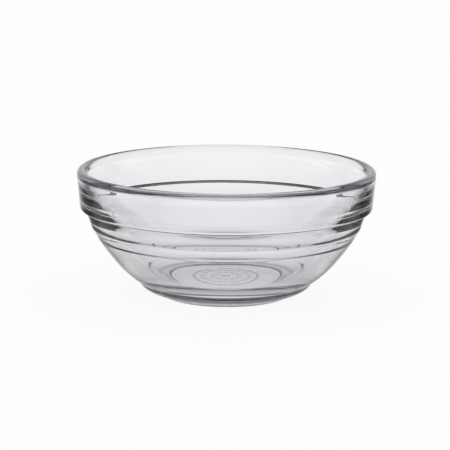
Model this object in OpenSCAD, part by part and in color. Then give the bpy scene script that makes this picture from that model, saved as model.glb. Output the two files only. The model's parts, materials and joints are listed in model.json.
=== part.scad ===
// Small stacking bowl in pressed and toughened glass, as one solid.
// The wall is a turned outline about Z: a thick collar under the rim, a shoulder that
// sits on the rim of the next bowl, a stepped belly and a low foot with a flat resting ring.
// The bowl stands on the plane z = 0 with its middle on the Z axis.

/* [Overall] */
// Widest diameter, across the rim
bowl_d = 105; // [100:1:116]
// Height from the table to the top of the rim
bowl_h = 45; // [43:1:56]

/* [Rim] */
// Radius of the round on the outside of the rim
rim_round = 1.8; // [1.4:0.1:2.4]
// Radius of the small round on the inside of the rim
lip_round = 1.1; // [0.6:0.1:1.4]
// How far the side draws in under the soft bead of the rim
bead_w = 0.3; // [0.1:0.05:0.5]
// Height of the bead's underside, down from the widest line of the rim
bead_h = 3.2; // [2.4:0.1:4]

/* [Stacking collar] */
// Drop from the top of the rim to the shoulder under the collar
collar_h = 14.2; // [11:0.1:16]
// How far the collar's side leans in towards its lower edge
collar_draft = 1.05; // [0.5:0.05:1.5]
// Radius of the round at the lower edge of the collar
collar_round = 1.2; // [0.6:0.1:1.6]
// How far the shoulder steps in under the collar
shoulder_w = 2.3; // [1.9:0.1:3]

/* [Outer wall] */
// Height of the steep band under the shoulder
band_h = 5.9; // [4:0.1:7]
// How far the band leans in towards its lower edge
band_draft = 1.6; // [1:0.1:2.5]
// Height of the sloping step under the band
step_h = 3.5; // [2:0.1:4.2]
// Width of the sloping step
step_w = 2.2; // [1.2:0.1:2.8]
// Height of the narrow upright face under a step
ledge_h = 0.5; // [0.2:0.1:0.8]
// Slope of the belly at its top, in degrees from upright
belly_top_slope = 34; // [26:1:38]
// Slope of the belly above the foot, in degrees from upright
belly_low_slope = 56; // [50:1:62]

/* [Foot] */
// Diameter where the belly ends and the foot begins
foot_line_d = 61.4; // [58:0.2:66]
// Height of that line above the table
foot_h = 5.1; // [4.4:0.1:6]
// Width of the small step at that line
foot_step_w = 0.8; // [0.4:0.1:1.2]
// Outer diameter of the foot at the table
foot_d = 46.4; // [42:0.2:50]
// Radius of the round at the edge of the foot
foot_round = 0.8; // [0.4:0.1:1.2]
// Width of the flat ring that the bowl stands on
rest_w = 1.4; // [1:0.1:3]
// Depth of the hollow under the floor
recess_h = 0.8; // [0.5:0.1:1.2]

/* [Resting ring] */
// Number of grooves across the outer part of the resting ring
groove_count = 48; // [24:4:72]
// Width of a groove
groove_w = 0.6; // [0.4:0.1:0.8]
// Depth of a groove
groove_depth = 0.2; // [0.1:0.05:0.3]

/* [Inside] */
// Height of the inner floor above the table
floor_h = 6.3; // [5:0.1:8]
// Diameter of the flat part of the inner floor
floor_d = 40; // [30:0.2:44]
// Slope of the inside at the rim, in degrees from upright
inner_top_slope = 6; // [2:1:9]
// Drop from the band's lower edge to the line where the inside turns from wall to bottom
turn_drop = 1.4; // [0.6:0.1:2.2]
// Thickness of the wall at that line, measured level from the band's lower edge
turn_wall = 5.55; // [5:0.05:7]
// Slope of the inside at that line, in degrees from upright
turn_slope = 35; // [32:1:40]

/* [Medallion] */
// Outer diameter of the raised ring in the hollow under the floor
medal_d = 24; // [18:1:30]
// Width of that ring
medal_w = 0.6; // [0.4:0.1:1]
// Height of the ring and the pips
medal_rise = 0.3; // [0.2:0.05:0.4]
// Diameter of a pip
pip_d = 1.2; // [0.8:0.1:1.4]

/* [Hidden] */
$fn = 96;

// Shares of the chord that a curve's control arms take
arm_share = 0.33;
belly_arm_share = 0.36;
// Slope with which the inside reaches the flat floor
floor_slope = 88;
// Slope with which the underside of the bead reaches the collar
bead_low_slope = 2;
// The band leaves the shoulder and reaches the step nearly upright
band_top_slope = 2;
band_low_slope = 12;
// Share of the resting ring's width that stays whole inside the grooves
groove_start_share = 0.4;
// Share of a step's width that its upright face leans in
ledge_lean_share = 0.06;
// Slope of the foot where it leaves the step, and where it meets the table round
foot_top_slope = 46;
foot_low_slope = 62;
// Radii of the two rings of pips, as shares of the medallion's radius
pip_ring_shares = [0.72, 0.4];
pip_counts = [24, 12];

rim_r = bowl_d / 2;
apex_r = rim_r - rim_round;
mouth_r = apex_r - lip_round;
shoulder_z = bowl_h - collar_h;
collar_low_r = rim_r - collar_draft;
neck_r = collar_low_r - shoulder_w;
band_z = shoulder_z - band_h;
band_r = neck_r - band_draft;
step_z = band_z - step_h;
step_r = band_r - step_w;
belly_r = step_r - step_w * ledge_lean_share;
belly_z = step_z - ledge_h;
foot_line_r = foot_line_d / 2;
foot_top_r = foot_line_r - foot_step_w;
foot_top_z = foot_h - foot_step_w - ledge_h;
foot_r = foot_d / 2;
rest_out_r = foot_r - foot_round;
rest_in_r = rest_out_r - rest_w;
floor_r = floor_d / 2;
turn_r = band_r - turn_wall;
turn_z = band_z - turn_drop;
groove_r = rest_in_r + rest_w * groove_start_share;
medal_r = medal_d / 2;

// Points on an arc about c, from one angle to the other
function arc(c, r, from, to, steps) =
    [for (i = [0:steps]) let (a = from + (to - from) * i / steps) c + r * [cos(a), sin(a)]];

// Direction inwards and down, at a slope from upright
function inwards(slope) = [-sin(slope), -cos(slope)];

// Curve between two points that leaves and arrives at the given slopes
function sweep(p, q, slope_p, slope_q, share, steps) =
    let (arm = norm(q - p) * share, a = p + arm * inwards(slope_p), b = q - arm * inwards(slope_q))
    [for (i = [0:steps]) let (t = i / steps, s = 1 - t)
        s * s * s * p + 3 * s * s * t * a + 3 * s * t * t * b + t * t * t * q];

rim_points = concat(
    arc([apex_r, bowl_h - lip_round], lip_round, 180, 90, 4),
    arc([apex_r, bowl_h - rim_round], rim_round, 84, 0, 7));

bead_points = sweep([rim_r, bowl_h - rim_round], [rim_r - bead_w, bowl_h - rim_round - bead_h],
                    0, bead_low_slope, arm_share, 6);

collar_points =
    arc([collar_low_r - collar_round, shoulder_z + collar_round], collar_round, 0, -90, 5);

band_points = concat(
    sweep([neck_r, shoulder_z], [band_r, band_z], band_top_slope, band_low_slope, arm_share, 6),
    [[step_r, step_z]]);

belly_points = sweep([belly_r, belly_z], [foot_line_r, foot_h],
                     belly_top_slope, belly_low_slope, belly_arm_share, 12);

foot_points = concat(
    sweep([foot_top_r, foot_top_z],
          [rest_out_r + foot_round * sin(foot_low_slope), foot_round * (1 - cos(foot_low_slope))],
          foot_top_slope, foot_low_slope, arm_share, 5),
    [[rest_out_r, 0], [rest_in_r, 0], [rest_in_r - recess_h, recess_h], [0, recess_h]]);

wall_points = sweep([mouth_r, bowl_h - lip_round], [turn_r, turn_z],
                    inner_top_slope, turn_slope, arm_share, 9);

bottom_points = sweep([turn_r, turn_z], [floor_r, floor_h], turn_slope, floor_slope, arm_share, 12);

// Turned glass wall, from the middle of the inner floor out over the rim and back underneath
module wall() {
    rotate_extrude()
        polygon(concat(
            [[0, floor_h]],
            [for (i = [len(bottom_points) - 1:-1:1]) bottom_points[i]],
            [for (i = [len(wall_points) - 1:-1:1]) wall_points[i]],
            rim_points, [for (i = [1:len(bead_points) - 1]) bead_points[i]],
            collar_points, band_points, belly_points, foot_points));
}

// Radial grooves that give the resting ring its grip; the ring stays whole inside them
module rest_grooves() {
    for (i = [0:groove_count - 1])
        rotate((i + 1 / 2) * 360 / groove_count)
            translate([groove_r, -groove_w / 2, -groove_depth])
                cube([rest_out_r - groove_r + foot_round * 2, groove_w, groove_depth * 2]);
}

// Plain ring with two circles of pips, raised on the underside of the floor
module medallion() {
    translate([0, 0, recess_h - medal_rise]) {
        difference() {
            cylinder(r = medal_r, h = medal_rise * 2);
            translate([0, 0, -medal_rise])
                cylinder(r = medal_r - medal_w, h = medal_rise * 4);
        }
        for (k = [0:len(pip_counts) - 1])
            for (i = [0:pip_counts[k] - 1])
                rotate(i * 360 / pip_counts[k])
                    translate([medal_r * pip_ring_shares[k], 0, 0])
                        cylinder(d = pip_d, h = medal_rise * 2);
        cylinder(d = pip_d * 2, h = medal_rise * 2);
    }
}

module bowl() {
    color([0.88, 0.91, 0.93, 0.45])
        union() {
            difference() {
                wall();
                rest_grooves();
            }
            medallion();
        }
}

bowl();
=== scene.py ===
# %% [markdown]
# This lesson dresses one small stacking bowl in pressed, toughened glass. The measured
# solid comes first, because it fixes the size: whatever is modelled here has to lie inside
# its box. Clear glass has almost no colour of its own. What the eye reads as glass is the
# studio, bent and mirrored by the wall, so the outline and the light matter more than paint.

# %% Load the frame
import json
import math

import bpy
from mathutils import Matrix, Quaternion, Vector

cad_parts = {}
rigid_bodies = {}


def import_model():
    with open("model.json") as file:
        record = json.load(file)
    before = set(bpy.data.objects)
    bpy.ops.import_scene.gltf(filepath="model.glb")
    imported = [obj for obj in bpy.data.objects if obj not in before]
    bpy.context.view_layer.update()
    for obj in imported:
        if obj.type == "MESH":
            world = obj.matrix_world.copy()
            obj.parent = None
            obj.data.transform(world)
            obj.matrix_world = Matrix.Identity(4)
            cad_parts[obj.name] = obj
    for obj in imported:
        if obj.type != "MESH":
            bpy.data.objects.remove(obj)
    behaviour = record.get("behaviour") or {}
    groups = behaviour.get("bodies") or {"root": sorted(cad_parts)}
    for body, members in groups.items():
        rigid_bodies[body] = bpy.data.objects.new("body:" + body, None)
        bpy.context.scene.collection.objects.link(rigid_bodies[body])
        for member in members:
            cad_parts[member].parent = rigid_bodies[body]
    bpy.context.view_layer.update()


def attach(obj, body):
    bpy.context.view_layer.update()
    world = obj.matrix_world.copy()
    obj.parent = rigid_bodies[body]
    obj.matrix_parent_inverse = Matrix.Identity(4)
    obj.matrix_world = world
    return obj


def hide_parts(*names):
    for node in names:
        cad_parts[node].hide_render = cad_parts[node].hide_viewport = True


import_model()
bpy.ops.object.select_all(action="DESELECT")

# %% [markdown]
# The camera is made before anything else, because every later choice is judged through it.
# The photograph was taken from far away through a long lens: the rim is a flat ellipse and
# the near and far walls are nearly the same size. So the camera stands sixteen rim radii
# away, a little under ten degrees above the rim, and aims at the middle of the bowl.

# %% Camera
MM = 0.001
PICTURE = 450                 # width and height of the picture, in pixels
SENSOR = 36.0                 # width of the camera's sensor, in mm
rim_radius = 52.5
rim_height = 45.0
distance = 16 * rim_radius
pixels_per_radius = 149.6     # half the rim's width in the picture

height_angle = math.radians(9.75)
roll = math.radians(0.4)      # the photograph leans by a hair
eye = Vector((0, -distance * math.cos(height_angle),
              rim_height + distance * math.sin(height_angle)))
aim = Vector((-0.42, 0, 24.54))
turn = (aim - eye).to_track_quat("-Z", "Y") @ Quaternion((0, 0, 1), roll)

bpy.ops.object.camera_add(location=eye * MM)
camera = bpy.context.object
camera.name = "camera"
camera.rotation_mode = "QUATERNION"
camera.rotation_quaternion = turn
camera.data.sensor_width = SENSOR
camera.data.lens = pixels_per_radius * (distance / rim_radius) * SENSOR / PICTURE
camera.data.clip_start = 0.01
camera.data.clip_end = 50
bpy.context.scene.camera = camera
bpy.context.scene.view_settings.view_transform = "Standard"
print("camera:", round(camera.data.lens, 1), "mm lens,", round((aim - eye).length), "mm away")

# %% [markdown]
# The bowl is round, so its whole form is one outline turned about the Z axis. These are the
# sizes of that outline in millimetres and its slopes in degrees from upright, taken from
# the measured solid: a rounded rim, a thick collar that ends in a flat shoulder, a steep
# band, a sloping step, the belly and a low foot. The inside is two curves that join
# smoothly: the wall falls from the rim, and the bottom sweeps on from there to the flat
# floor. Three things differ from the solid: a soft slope inside the rim, which lets the wall
# start one degree steeper, the rounding of the corners, and the pattern on the underside.

# %% Sizes of the outline
rim_round, lip_round = 1.8, 1.1
lip_tilt, lip_low = 26, 42.4                 # soft slope inside the rim, down to this height
bead_w, bead_h, bead_low_slope = 0.3, 3.2, 2  # soft bead that the side draws in under
collar_h, collar_draft, collar_round, shoulder_w = 14.2, 1.05, 1.2, 2.3
band_h, band_draft, band_top_slope, band_low_slope = 5.9, 1.6, 2, 12
step_h, step_w, ledge_h, ledge_lean = 3.5, 2.2, 0.5, 0.06
belly_top_slope, belly_low_slope, belly_arm = 34, 56, 0.36
foot_line_r, foot_h, foot_step_w, foot_round = 30.7, 5.1, 0.8, 0.8
foot_top_slope, foot_low_slope = 46, 62
rest_out_r, rest_in_r, recess_h = 22.4, 21.0, 0.8
floor_h, floor_r, floor_slope = 6.3, 20.0, 88
wall_top_slope = 5
turn_r, turn_z, turn_slope = 42.0, 23.5, 35  # where the inside turns from wall to bottom
medal_r, medal_w, medal_rise = 12.0, 0.6, 0.3
soft_lip, soft_step, soft_foot, soft_rest, soft_hollow = 0.35, 0.5, 0.4, 0.35, 0.3   # corners
print("wall sizes set for a bowl", 2 * rim_radius, "mm wide and", rim_height, "mm high")

# %% [markdown]
# Three small helpers draw the outline. An arc makes the rounds. A sweep makes a curve that
# leaves one point and reaches another at chosen slopes, which is how the belly and the inside
# flow. Pressed glass has no sharp corner anywhere, because it is fire polished, so soften
# rounds each corner, and spread adds points along straight runs to keep the shading even.

# %% Outline helpers
def arc(centre, radius, start, end, steps):
    """Points on an arc, from one angle in degrees to another."""
    turns = [math.radians(start + (end - start) * i / steps) for i in range(steps + 1)]
    return [(centre[0] + radius * math.cos(t), centre[1] + radius * math.sin(t)) for t in turns]


def sweep(p, q, slope_p, slope_q, steps, arm=0.33):
    """A curve from p to q; slopes are in degrees from upright, the arm is a share of the chord."""
    chord = math.dist(p, q)
    a, b = math.radians(slope_p), math.radians(slope_q)
    pull_p = (p[0] - math.sin(a) * chord * arm, p[1] - math.cos(a) * chord * arm)
    pull_q = (q[0] + math.sin(b) * chord * arm, q[1] + math.cos(b) * chord * arm)
    points = []
    for i in range(steps + 1):
        t = i / steps
        s = 1 - t
        points.append(tuple(
            s**3 * p[k] + 3 * s * s * t * pull_p[k] + 3 * s * t * t * pull_q[k] + t**3 * q[k]
            for k in range(2)))
    return points


def soften(points, size, steps=4, most=0.45):
    """Rounds every corner between the ends, over at most this share of the sides beside it."""
    out = [points[0]]
    for a, b, c in zip(points, points[1:], points[2:]):
        reach = min(size, math.dist(a, b) * most, math.dist(c, b) * most)
        start = [b[k] + (a[k] - b[k]) * reach / math.dist(a, b) for k in range(2)]
        end = [b[k] + (c[k] - b[k]) * reach / math.dist(c, b) for k in range(2)]
        for i in range(steps + 1):
            t = i / steps
            out.append(tuple(
                (1 - t)**2 * start[k] + 2 * t * (1 - t) * b[k] + t * t * end[k] for k in range(2)))
    return out + [points[-1]]


def spread(points, longest, doubled=0.002):
    """Adds points so that no stretch is longer than longest, and leaves out doubled ones."""
    out = [points[0]]
    for a, b in zip(points, points[1:]):
        parts = max(1, math.ceil(math.dist(a, b) / longest))
        if math.dist(a, b) > doubled:
            out += [(a[0] + (b[0] - a[0]) * i / parts, a[1] + (b[1] - a[1]) * i / parts)
                    for i in range(1, parts + 1)]
    return out


print("arc, sweep, soften and spread are ready")

# %% [markdown]
# The outline runs from the middle of the inner floor up the inside, over the rim, down the
# outside and back under the foot to the axis. The inside comes first. Its slopes decide
# where the foot, seen through the near wall, appears in the picture. The rim is a small
# round that swells into a soft bead, only a third of a millimetre proud of the collar. Its
# inner edge runs out in a short soft slope, and light that meets it from inside the glass is
# turned back: that is the dark line which follows the near rim.

# %% Inside and rim
apex_r = rim_radius - rim_round
tilt = math.radians(lip_tilt)
lip_end = (apex_r - lip_round * math.cos(tilt), rim_height - lip_round * (1 - math.sin(tilt)))
slope_end = (lip_end[0] - (lip_end[1] - lip_low) * math.tan(tilt), lip_low)
wall = sweep(slope_end, (turn_r, turn_z), wall_top_slope, turn_slope, 36)
inside = soften([lip_end, slope_end, wall[1], wall[2]], soft_lip, 6)[:-1] + wall[2:]
inside += sweep((turn_r, turn_z), (floor_r, floor_h), turn_slope, floor_slope, 40)[1:]
rim = (arc((apex_r, rim_height - lip_round), lip_round, 180 - lip_tilt, 90, 8)[1:]
       + arc((apex_r, rim_height - rim_round), rim_round, 90, 0, 16)[1:])
bead_low = (rim_radius - bead_w, rim_height - rim_round - bead_h)
rim += sweep(rim[-1], bead_low, 0, bead_low_slope, 14)[1:]
print("inside:", len(inside), "points; rim:", len(rim), "points")

# %% [markdown]
# The outside repeats the measured solid step by step. The steep band leaves the shoulder
# nearly upright and bends slightly inwards, which the photograph shows in its side, and a
# narrow upright ledge stands under the sloping step and above the foot.

# %% Collar, band, belly and foot
shoulder_z = rim_height - collar_h
collar_low_r = rim_radius - collar_draft
neck_r = collar_low_r - shoulder_w
collar = arc((collar_low_r - collar_round, shoulder_z + collar_round), collar_round, 0, -90, 8)
band_low = (neck_r - band_draft, shoulder_z - band_h)
band = sweep((neck_r, shoulder_z), band_low, band_top_slope, band_low_slope, 10)
step_low = (band_low[0] - step_w, band_low[1] - step_h)
belly_top = (step_low[0] - step_w * ledge_lean, step_low[1] - ledge_h)
belly = sweep(belly_top, (foot_line_r, foot_h), belly_top_slope, belly_low_slope, 30, belly_arm)
shoulder = soften([collar[-1], band[0], band[1]], soft_step)
step = soften([band[-2], band[-1], step_low, belly[0], belly[1]], soft_step)

foot_top = (foot_line_r - foot_step_w, foot_h - foot_step_w - ledge_h)
lean = math.radians(foot_low_slope)
foot_low = (rest_out_r + foot_round * math.sin(lean), foot_round * (1 - math.cos(lean)))
foot = sweep(foot_top, foot_low, foot_top_slope, foot_low_slope, 12)
foot_edge = soften([belly[-2], belly[-1], foot[0], foot[1]], soft_foot)
outside = collar + shoulder[1:-1] + band[2:-2] + step + belly[2:-2] + foot_edge + foot[2:-2]
print("outside:", len(outside), "points")

# %% [markdown]
# The underside is what the glass shows most of: the flat resting ring, a shallow hollow
# inside it, and a plain raised ring that frames a pattern of pips. The stretches that will
# carry the pips and the grip pattern get closer points, since they are shaped afterwards.

# %% Underside and the whole outline
pip_rings = ((0.72 * medal_r, 24), (0.4 * medal_r, 12))   # radius and number of pips
pip_field_w, pip_row, pip_rows = 0.9, 0.18, 11   # half width of a field of pips, and its rows
middle_w, middle_row, middle_rows = 1.8, 0.2, 9  # the same for the large pip in the middle
medal_lean = 0.15                             # how far the sides of the plain ring lean
field_start_r = 10.2                          # the ceiling is plain out to the ring from here
grip_start = 0.4                              # share of the resting ring that stays whole
grip_r = rest_in_r + grip_start * (rest_out_r - rest_in_r)
medal_z = recess_h - medal_rise
rest = soften([foot[-2], foot[-1], (rest_out_r, 0), (grip_r, 0)], soft_rest)[:-1]
rest += [(rest_out_r - soft_rest - (rest_out_r - soft_rest - grip_r) * i / 2, 0)
         for i in range(1, 3)]
hollow = soften([(grip_r, 0), (rest_in_r, 0), (rest_in_r - recess_h, recess_h),
                 (medal_r + medal_lean, recess_h), (medal_r, medal_z), (medal_r - medal_w, medal_z),
                 (medal_r - medal_w - medal_lean, recess_h), (field_start_r, recess_h)],
                soft_hollow)[1:]
pip_field = []
for ring_r, _ in pip_rings:
    pip_field += [(ring_r + pip_field_w - pip_row * i, recess_h) for i in range(pip_rows)]
middle = [(middle_w - middle_row * i, recess_h) for i in range(middle_rows)] + [(0, recess_h)]

gap, plain_gap = 0.8, 1.6                     # longest stretches between points
outline = ([(0, floor_h)] + spread(list(reversed(inside)), gap) + spread([inside[0]] + rim, gap)[1:]
           + spread([rim[-1]] + outside, gap)[1:] + rest + spread([rest[-1]] + hollow, gap)[1:]
           + spread([hollow[-1]] + pip_field + middle, plain_gap)[1:])
print("whole outline:", len(outline), "points")

# %% [markdown]
# By hand this would be a single vertex, extruded along the drawing and then spun. The same
# is done here: a small plane is merged into one vertex at the middle of the inner floor, it
# is extruded from point to point, and the thread of edges is spun once round the Z axis.
# Spinning leaves a seam and two poles, so doubles are merged and the normals recalculated.

# %% Turn the bowl
SEGMENTS = 288
WELD = 0.000004               # vertices closer than this are one, in metres
bpy.ops.mesh.primitive_plane_add(size=0.002, location=(0, 0, outline[0][1] * MM))
bowl = bpy.context.object
bowl.name = "glass_bowl"
bpy.ops.object.transform_apply(location=True, rotation=False, scale=False)
bpy.ops.object.mode_set(mode="EDIT")
bpy.ops.mesh.select_all(action="SELECT")
bpy.ops.mesh.merge(type="CENTER")
for (r0, z0), (r1, z1) in zip(outline, outline[1:]):
    pull = ((r1 - r0) * MM, 0, (z1 - z0) * MM)
    bpy.ops.mesh.extrude_region_move(TRANSFORM_OT_translate={"value": pull})
bpy.ops.mesh.select_all(action="SELECT")
bpy.ops.mesh.spin(steps=SEGMENTS, angle=math.tau, center=(0, 0, 0), axis=(0, 0, 1))
bpy.ops.mesh.select_all(action="SELECT")
bpy.ops.mesh.remove_doubles(threshold=WELD)
bpy.ops.mesh.normals_make_consistent(inside=False)
bpy.ops.object.mode_set(mode="OBJECT")
print("turned bowl:", len(bowl.data.vertices), "vertices,", len(bowl.data.polygons), "faces")

# %% [markdown]
# The moulded details sit on the underside and are looked at through the glass. A real mould
# maker would engrave them. Here the vertices of each pip are selected by their place and
# moved down, first a wide patch and then two smaller ones, which gives a low dome.

# %% Pips inside the plain ring
touch = 0.01                  # what lies this near to a level counts as lying on it
pip_area_r = 10               # the pips lie inside this radius
dome = ((0.62, 0.12), (0.5, 0.1), (0.3, 0.08))   # radius and drop of each patch of a pip


def pick(piece, kind, wanted):
    """Selects the vertices or faces whose place in mm fits, and leaves the piece in edit mode."""
    bpy.ops.object.mode_set(mode="EDIT")
    bpy.ops.mesh.select_mode(type=kind)
    bpy.ops.mesh.select_all(action="DESELECT")
    bpy.ops.object.mode_set(mode="OBJECT")
    places = ([(v, v.co) for v in piece.data.vertices] if kind == "VERT"
              else [(f, f.center) for f in piece.data.polygons])
    count = 0
    for item, spot in places:
        x, y, z = spot / MM
        item.select = bool(wanted(x, y, z))
        count += item.select
    bpy.ops.object.mode_set(mode="EDIT")
    return count


def near_pip(x, y, z, size):
    """True within size of the middle of a pip, on the ceiling of the hollow."""
    if z > recess_h + touch or z < medal_z or math.hypot(x, y) > pip_area_r:
        return False
    if math.hypot(x, y) < 2 * size:
        return True
    for ring_r, number in pip_rings:
        a = round(math.atan2(y, x) / math.tau * number) / number * math.tau
        if math.hypot(x - ring_r * math.cos(a), y - ring_r * math.sin(a)) < size:
            return True
    return False


for size, drop in dome:
    moved = pick(bowl, "VERT", lambda x, y, z: near_pip(x, y, z, size))
    bpy.ops.transform.translate(value=(0, 0, -drop * MM))
    bpy.ops.object.mode_set(mode="OBJECT")
    print("pips: moved", moved, "vertices down by", drop, "mm")

# %% [markdown]
# The resting ring of such a bowl is stippled, so that it grips and doesn't seal on a wet
# table. Each small face of the outer ring is inset on its own and pushed up into the glass,
# and a seeded random half of them is pushed a little further, so it never looks printed.

# %% Grip pattern on the resting ring
grip_edge, grip_depth = 0.09, 0.12            # frame and depth of a cell
grip_end = rest_out_r - 0.3
cells = pick(bowl, "FACE", lambda x, y, z: grip_r < math.hypot(x, y) < grip_end and z < touch)
bpy.ops.mesh.inset(thickness=grip_edge * MM, use_individual=True)
bpy.ops.transform.translate(value=(0, 0, grip_depth * MM))
bpy.ops.mesh.select_random(ratio=0.5, seed=7, action="DESELECT")
bpy.ops.transform.translate(value=(0, 0, grip_depth * MM))
bpy.ops.object.mode_set(mode="OBJECT")
bpy.ops.object.shade_smooth()
print("grip pattern:", cells, "cells;", len(bowl.data.polygons), "faces in all")

# %% [markdown]
# Next comes the finish. Real pressed glass is clear but never perfect: the mould and the
# fire polish leave a faint waviness, and the resting ring is dull where it was stippled and
# has rubbed on tables. Both effects are masks over the surface, so they are built as small
# node groups with named inputs, and the glass shader itself stays in the material.

# %% Node helpers
def put(tree, kind, **values):
    """Adds a node; values are socket names, or names of its own settings."""
    node = tree.nodes.new(kind)
    for name, value in values.items():
        socket = node.inputs.get(name.replace("_", " "))
        if socket is None:
            setattr(node, name, value)
        elif isinstance(value, bpy.types.NodeSocket):
            tree.links.new(value, socket)
        else:
            socket.default_value = value
    return node


def maths(tree, operation, *terms):
    """One Math node; each term is a number or a socket."""
    node = tree.nodes.new("ShaderNodeMath")
    node.operation = operation
    for socket, term in zip(node.inputs, terms):
        if isinstance(term, bpy.types.NodeSocket):
            tree.links.new(term, socket)
        else:
            socket.default_value = term
    return node.outputs[0]


def blank_group(name, inputs, outputs):
    """A shader node group with float inputs and outputs."""
    tree = bpy.data.node_groups.new(name, "ShaderNodeTree")
    for label, kind, value in inputs:
        socket = tree.interface.new_socket(label, in_out="INPUT", socket_type=kind)
        if value is not None:
            socket.default_value = value
    for label, kind in outputs:
        tree.interface.new_socket(label, in_out="OUTPUT", socket_type=kind)
    return tree, tree.nodes.new("NodeGroupInput").outputs, tree.nodes.new("NodeGroupOutput").inputs


def ramp(tree, value, span, stops):
    """A grey ramp over a span of values; each stop is a value and its brightness."""
    low, high = span
    share = maths(tree, "DIVIDE", maths(tree, "SUBTRACT", value, low), high - low)
    node = put(tree, "ShaderNodeValToRGB", Fac=share)
    bar = node.color_ramp
    bar.elements.remove(bar.elements[-1])
    for i, (spot, grey) in enumerate(stops):
        place = (spot - low) / (high - low)
        stop = bar.elements[0] if i == 0 else bar.elements.new(place)
        stop.position = place
        stop.color = (grey, grey, grey, 1)
    return node.outputs[0]


def choose(tree, switch, otherwise, chosen):
    """A Mix node on numbers: chosen where switch is 1."""
    node = put(tree, "ShaderNodeMix", data_type="FLOAT")
    for i, term in ((0, switch), (2, otherwise), (3, chosen)):
        socket = node.inputs[i]
        if isinstance(term, bpy.types.NodeSocket):
            tree.links.new(term, socket)
        else:
            socket.default_value = term
    return node.outputs[0]


def compass(tree, vector):
    """Degrees round from +Y, the same to the left and to the right, and the vector's height."""
    parts = put(tree, "ShaderNodeSeparateXYZ", Vector=vector)
    around = maths(tree, "ARCTAN2", parts.outputs["X"], parts.outputs["Y"])
    degrees = maths(tree, "MULTIPLY", maths(tree, "ABSOLUTE", around), 180 / math.pi)
    return degrees, parts.outputs["Z"]


print("node helpers ready")

# %% [markdown]
# The first group gives the waviness as a height, from two sizes of smooth noise. The second
# says where the resting ring is: one near the table, nothing above it.

# %% Waviness and resting ring groups
waves, given, result = blank_group(
    "fire_polish_waves",
    [("Place", "NodeSocketVector", None), ("Broad", "NodeSocketFloat", 60.0),
     ("Fine", "NodeSocketFloat", 260.0)],
    [("Height", "NodeSocketFloat")])
FINE_SHARE = 0.12
broad = put(waves, "ShaderNodeTexNoise", Vector=given["Place"], Scale=given["Broad"], Detail=1.0)
fine = put(waves, "ShaderNodeTexNoise", Vector=given["Place"], Scale=given["Fine"], Detail=2.0)
height = maths(waves, "MULTIPLY_ADD", fine.outputs[0], FINE_SHARE, broad.outputs[0])
waves.links.new(height, result["Height"])

ring, given, result = blank_group(
    "resting_ring_mask",
    [("Place", "NodeSocketVector", None), ("Reach", "NodeSocketFloat", 0.0004)],
    [("Mask", "NodeSocketFloat")])
parts = put(ring, "ShaderNodeSeparateXYZ", Vector=given["Place"])
flat = put(ring, "ShaderNodeCombineXYZ", X=parts.outputs["X"], Y=parts.outputs["Y"])
out_from_axis = put(ring, "ShaderNodeVectorMath", operation="LENGTH")
ring.links.new(flat.outputs[0], out_from_axis.inputs[0])
low = maths(ring, "SUBTRACT", 1.0, maths(ring, "DIVIDE", parts.outputs["Z"], given["Reach"]))
ring_start = (rest_in_r - 0.5) * MM
beyond = maths(ring, "GREATER_THAN", out_from_axis.outputs["Value"], ring_start)
mask = maths(ring, "MULTIPLY", maths(ring, "MAXIMUM", low, 0.0), beyond)
ring.links.new(maths(ring, "MINIMUM", mask, 1.0), result["Mask"])
print("groups:", waves.name, "and", ring.name)

# %% [markdown]
# The glass is a Principled shader that lets all light through, with the index of soda-lime
# glass. Clear glass still takes a little out of the light, more along a thick stretch than a
# thin one, so a volume absorption of a cool grey goes with it. Its roughness is nothing,
# except where the resting ring is worn. The bump is far too low to be seen as such, but it
# makes the thin bright and dark lines inside the wall tremble, as they do in pressed glass.

# %% Clear glass
glass = bpy.data.materials.new("clear_pressed_glass")
glass.use_nodes = True
tree = glass.node_tree
tree.nodes.clear()
place = put(tree, "ShaderNodeTexCoord").outputs["Object"]
wave = put(tree, "ShaderNodeGroup", node_tree=waves)
tree.links.new(place, wave.inputs["Place"])
worn = put(tree, "ShaderNodeGroup", node_tree=ring)
tree.links.new(place, worn.inputs["Place"])
grain = put(tree, "ShaderNodeTexNoise", Vector=place, Scale=1500.0, Detail=2.0)
GRAIN_SHARE, WORN_ROUGHNESS = 0.6, 0.12
dull_grain = maths(tree, "MULTIPLY", grain.outputs[0], worn.outputs[0])
relief = maths(tree, "MULTIPLY_ADD", dull_grain, GRAIN_SHARE, wave.outputs[0])
bump = put(tree, "ShaderNodeBump", Height=relief, Strength=1.0, Distance=0.00002)
roughness = maths(tree, "MULTIPLY", worn.outputs[0], WORN_ROUGHNESS)
shader = put(tree, "ShaderNodeBsdfPrincipled", IOR=1.5, Normal=bump.outputs[0], Roughness=roughness)
shader.inputs["Base Color"].default_value = (0.99, 0.99, 1.0, 1)
shader.inputs["Transmission Weight"].default_value = 1.0
inner = put(tree, "ShaderNodeVolumeAbsorption", Color=(0.75, 0.8, 0.9, 1), Density=12.0)
put(tree, "ShaderNodeOutputMaterial", Surface=shader.outputs[0], Volume=inner.outputs[0])
bowl.data.materials.clear()
bowl.data.materials.append(glass)
print("material:", glass.name, "on", bowl.name)
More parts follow.
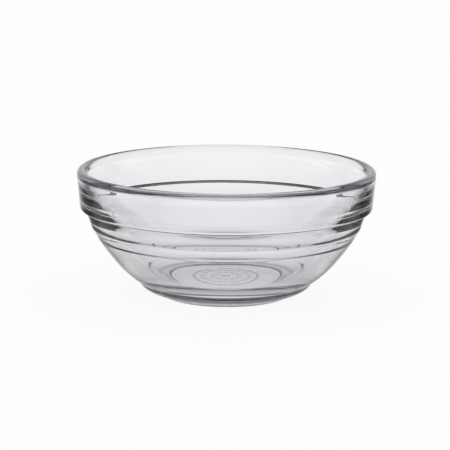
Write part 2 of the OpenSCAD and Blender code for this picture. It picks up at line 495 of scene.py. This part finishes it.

# %% [markdown]
# The bowl stands on a plain pale table. The camera sees it as white paper with the bowl's
# faint shadow. The glass shows another part of the same table, and there the light and shade
# are painted into the sheet's glow: rays that it bends reach a painted shadow under the foot,
# darkest in a narrow ring round the foot's edge, and far out a glow painted brighter,
# brightest right behind the bowl. Ramps draw that, one by the distance from the bowl, counted
# in rim radii, and the others by the direction. No flags stand beside the sheet: painted shade
# on it stands in for the dark flags of a studio for glassware, darker towards the back than in
# front, and where the wall bends the view onto it, the glass turns dark at its sides.

# %% Pale floor
bpy.ops.object.select_all(action="DESELECT")
SHEET_RADIUS = 3.0
HAIR = 0.00005                # keeps the sheet clear of the resting ring, in metres
FARTHEST = 8.0                # the light stays the same beyond this many rim radii
RADII, ASIDE, HEIGHTS = (0, FARTHEST), (0, 180), (-90, 90)   # spans of the ramps
bpy.ops.mesh.primitive_circle_add(vertices=128, radius=SHEET_RADIUS, fill_type="NGON",
                                  location=(0, 0, -HAIR))
floor = bpy.context.object
floor.name = "floor"
paper = bpy.data.materials.new("pale_floor")
paper.use_nodes = True
tree = paper.node_tree
tree.nodes.clear()
spot = put(tree, "ShaderNodeTexCoord").outputs["Object"]
aside, _ = compass(tree, spot)
reach = put(tree, "ShaderNodeVectorMath", operation="LENGTH")
tree.links.new(spot, reach.inputs[0])
radii = maths(tree, "DIVIDE", reach.outputs["Value"], rim_radius * MM)
radii = maths(tree, "MINIMUM", radii, FARTHEST)
# Painted shadow of the bowl on the sheet, for rays through the glass: darker under the foot,
# darkest in a ring at half a rim radius, and painted brighter out to white at eight rim radii.
painted_shadow_by_distance = ramp(tree, radii, RADII, [
    (0, .82), (.3, .8), (.4, .72), (.455, .6), (.48, .4), (.5, .4), (.52, .66), (.6, .76),
    (.9, .83), (2.2, .86), (3, .92), (6, .98), (8, 1)])
# Painted side shade near the bowl: the glow is darker to the left and right than behind and in
# front, for rays through the glass.
painted_side_shade = ramp(tree, aside, ASIDE, [
    (0, 1), (50, 1), (70, .95), (80, .8), (100, .7), (130, .7), (180, .9)])
# Painted shade in place of dark flags: the sheet's glow is darkened at the sides, most towards the
# back, for rays through the glass far from the bowl.
painted_flag_shade = ramp(tree, aside, ASIDE, [
    (0, 1), (25, .97), (34, .8), (44, .45), (50, .2), (66, .2), (74, .7), (80, .95), (100, .95),
    (106, .8), (114, .55), (130, .55), (140, .8), (150, 1), (180, 1)])
print("floor:", floor.name, "with", len(tree.nodes), "nodes so far")

# %% [markdown]
# Two kinds of ray meet the sheet. For the camera it is white with a share of plain matt
# paper in it, and that share is what carries the shadow. For every other ray it is only a
# glow, with the painted light and shade drawn above and no real shadow.

# %% Light of the floor
GLOW_SHARE = 0.93             # how much of the sheet is white of itself, for the camera
# Where each painted shade applies: the side shade from half a rim radius out, the flag shade taking
# over between 1.2 and 2 rim radii; sides is the painted shade by direction that results.
side_shade_share = ramp(tree, radii, RADII, [(0, 0), (.5, 0), (.6, 1)])
flag_shade_share = ramp(tree, radii, RADII, [(0, 0), (1.2, 0), (2, 1)])
sides = choose(tree, flag_shade_share, choose(tree, side_shade_share, 1.0, painted_side_shade), painted_flag_shade)
by_camera = put(tree, "ShaderNodeLightPath").outputs["Is Camera Ray"]
matt = put(tree, "ShaderNodeBsdfDiffuse", Color=(0.8, 0.8, 0.8, 1))
# Strength of the glow: white for the camera, the painted shadow and painted side and flag shade for
# every other ray.
glow_or_painted_shade = choose(tree, by_camera, maths(tree, "MULTIPLY", painted_shadow_by_distance, sides), 1.0)
white = put(tree, "ShaderNodeEmission", Color=(1, 1, 1, 1), Strength=glow_or_painted_shade)
join = put(tree, "ShaderNodeMixShader", Fac=choose(tree, by_camera, 1.0, GLOW_SHARE))
tree.links.new(matt.outputs[0], join.inputs[1])
tree.links.new(white.outputs[0], join.inputs[2])
put(tree, "ShaderNodeOutputMaterial", Surface=join.outputs[0])
floor.data.materials.append(paper)
print("floor shows the glass", len(floor.data.materials), "sheet of pale paper")

# %% [markdown]
# Glass shows nothing but its surroundings, so a white room would give a bowl that can hardly
# be seen. Photographers keep the sheet bright and the room above it dark: each curve where
# the glass bends the view past the far edge of the sheet turns into a crisp dark line. One
# soft card to each side brings light back to the lower wall. The camera sees white.

# %% Studio world
world = bpy.data.worlds.new("studio")
bpy.context.scene.world = world
world.use_nodes = True
tree = world.node_tree
tree.nodes.clear()
towards = put(tree, "ShaderNodeTexCoord").outputs["Generated"]
aside, upright = compass(tree, towards)
raised = maths(tree, "MULTIPLY", maths(tree, "ARCSINE", upright), 180 / math.pi)
card_tall = ramp(tree, raised, HEIGHTS, [(-90, 0), (8, 0), (12, 1), (24, 1), (28, 0)])
card_wide = ramp(tree, aside, ASIDE, [(0, 0), (76, 0), (80, .7), (104, .7), (108, 0)])
overhead_glow = ramp(tree, raised, HEIGHTS, [(-90, .02), (64, .02), (72, .35)])
room = maths(tree, "MAXIMUM", overhead_glow, maths(tree, "MULTIPLY", card_tall, card_wide))
print("world:", world.name, "with", len(tree.nodes), "nodes so far")

# %% [markdown]
# Mirrored rays see a softer room, brighter overhead, and a white backdrop behind the bowl
# that stands up to a third of the way to the top. It gives the rim its pale gleam, and
# leaves the sides dark. Matt surfaces are lit evenly from all sides at a plain level.

# %% What each kind of ray sees
backdrop = ramp(tree, aside, ASIDE, [(0, .9), (60, .9), (85, .1)])
backdrop_share = ramp(tree, raised, HEIGHTS, [(-90, 0), (-1, 0), (0, 1), (32, 1), (40, 0)])
overhead = ramp(tree, raised, HEIGHTS, [
    (-90, .1), (9, .1), (40, .15), (44, .3), (50, .6), (90, .8)])
mirrored = choose(tree, backdrop_share, overhead, backdrop)
rays = put(tree, "ShaderNodeLightPath").outputs
light = choose(tree, rays["Is Glossy Ray"], 1.0, mirrored)
light = choose(tree, rays["Is Transmission Ray"], light, room)
light = choose(tree, rays["Is Camera Ray"], light, 1.0)
sky = put(tree, "ShaderNodeBackground", Color=(1, 1, 1, 1), Strength=light)
put(tree, "ShaderNodeOutputWorld", Surface=sky.outputs[0])
bpy.context.scene.cycles.max_bounces = 24
bpy.context.scene.cycles.transmission_bounces = 24
bpy.context.scene.cycles.glossy_bounces = 16
print("light:", len(tree.nodes), "nodes")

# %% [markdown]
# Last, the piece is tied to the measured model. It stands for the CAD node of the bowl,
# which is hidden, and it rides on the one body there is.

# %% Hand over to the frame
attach(bowl, "root")
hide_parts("bowl")
